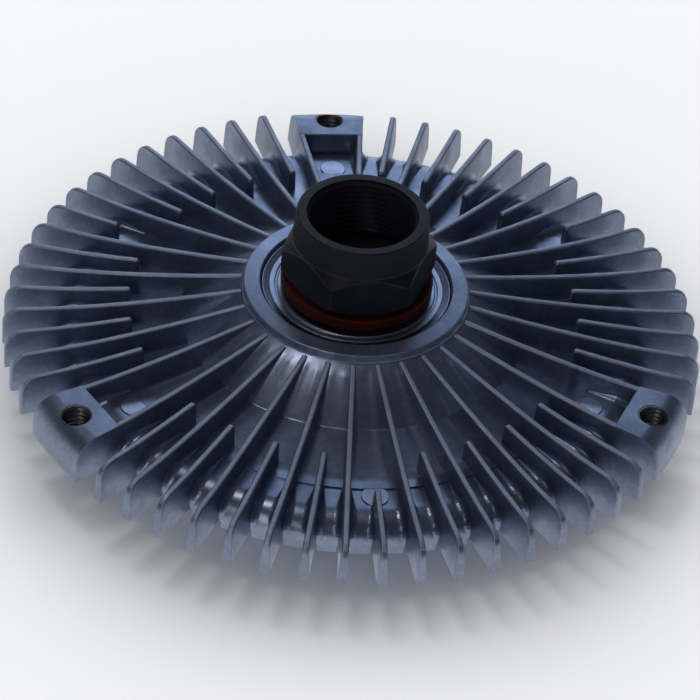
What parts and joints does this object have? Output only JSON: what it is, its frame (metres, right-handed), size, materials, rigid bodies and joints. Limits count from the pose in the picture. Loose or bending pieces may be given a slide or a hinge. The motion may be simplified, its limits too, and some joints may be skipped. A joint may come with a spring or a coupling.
{
  "type": "viscous fan clutch",
  "caption": "Finned die-cast viscous fan clutch with a black hexagon screw-on hub, threaded fan lugs, sealed ball bearing, shear rotor and bimetal-operated oil valve.",
  "frame": {"origin": "on the clutch's axis, in the plane of the front cover's fin ends, on which it rests", "axes": "+Z along the axis towards the hub, +Y through one fan lug"},
  "size_m": [0.17, 0.1697, 0.0528],
  "materials": {
    "housing_casting": "die-cast, dark bluish grey, satin",
    "cover_casting": "die-cast, dark bluish grey, satin",
    "black_steel": "black phosphated steel, satin",
    "red_elastomer": "dark orange-red elastomer",
    "bearing_steel": "ground steel",
    "shield_steel": "pressed steel",
    "cage_brass": "plain brass",
    "machined_aluminium": "turned aluminium",
    "sheet_steel": "sheet steel",
    "bimetal": "rolled bimetal",
    "black_rubber": "black rubber"
  },
  "bodies": {
    "housing": {"finned_housing": "housing_casting", "front_cover": "cover_casting", "cover_seal": "black_rubber", "reservoir_plate": "sheet_steel", "pump_dam": "cage_brass", "valve_rivet": "sheet_steel", "pin_seal": "black_rubber", "bimetal_strip": "bimetal", "fill_plug": "sheet_steel", "bearing_outer_ring": "bearing_steel", "bearing_rear_shield": "shield_steel", "bearing_front_shield": "shield_steel"},
    "hub": {"hub_shaft": "black_steel", "hub_dust_seal": "red_elastomer", "bearing_inner_ring": "bearing_steel", "rotor_disc": "machined_aluminium"},
    "ball_set": {"bearing_balls": "bearing_steel", "bearing_cage": "cage_brass"},
    "pin": {"actuating_pin": "bearing_steel"},
    "lever": {"valve_lever": "sheet_steel"}
  },
  "joints": [
    {"name": "hub_spin", "type": "hinge", "parent": "housing", "child": "hub", "pos_m": [0, 0, 0.025], "axis": [0, 0, 1], "continuous": true},
    {"name": "ball_set_spin", "type": "hinge", "parent": "housing", "child": "ball_set", "pos_m": [0, 0, 0.025], "axis": [0, 0, 1], "continuous": true},
    {"name": "pin_slide", "type": "slide", "parent": "housing", "child": "pin", "axis": [0, 0, -1], "range_m": [0, 0.001], "stiffness_N_per_m": 2000, "deforming": ["bimetal_strip"]},
    {"name": "lever_tilt", "type": "hinge", "parent": "housing", "child": "lever", "pos_m": [-0.032, 0, 0.0106], "axis": [0, 1, 0], "range_deg": [0, 1.8]}
  ],
  "couplings": [
    {"joint": "ball_set_spin", "follows": "hub_spin", "ratio": 0.40972},
    {"joint": "lever_tilt", "follows": "pin_slide", "rad_per_m": 31.25}
  ]
}
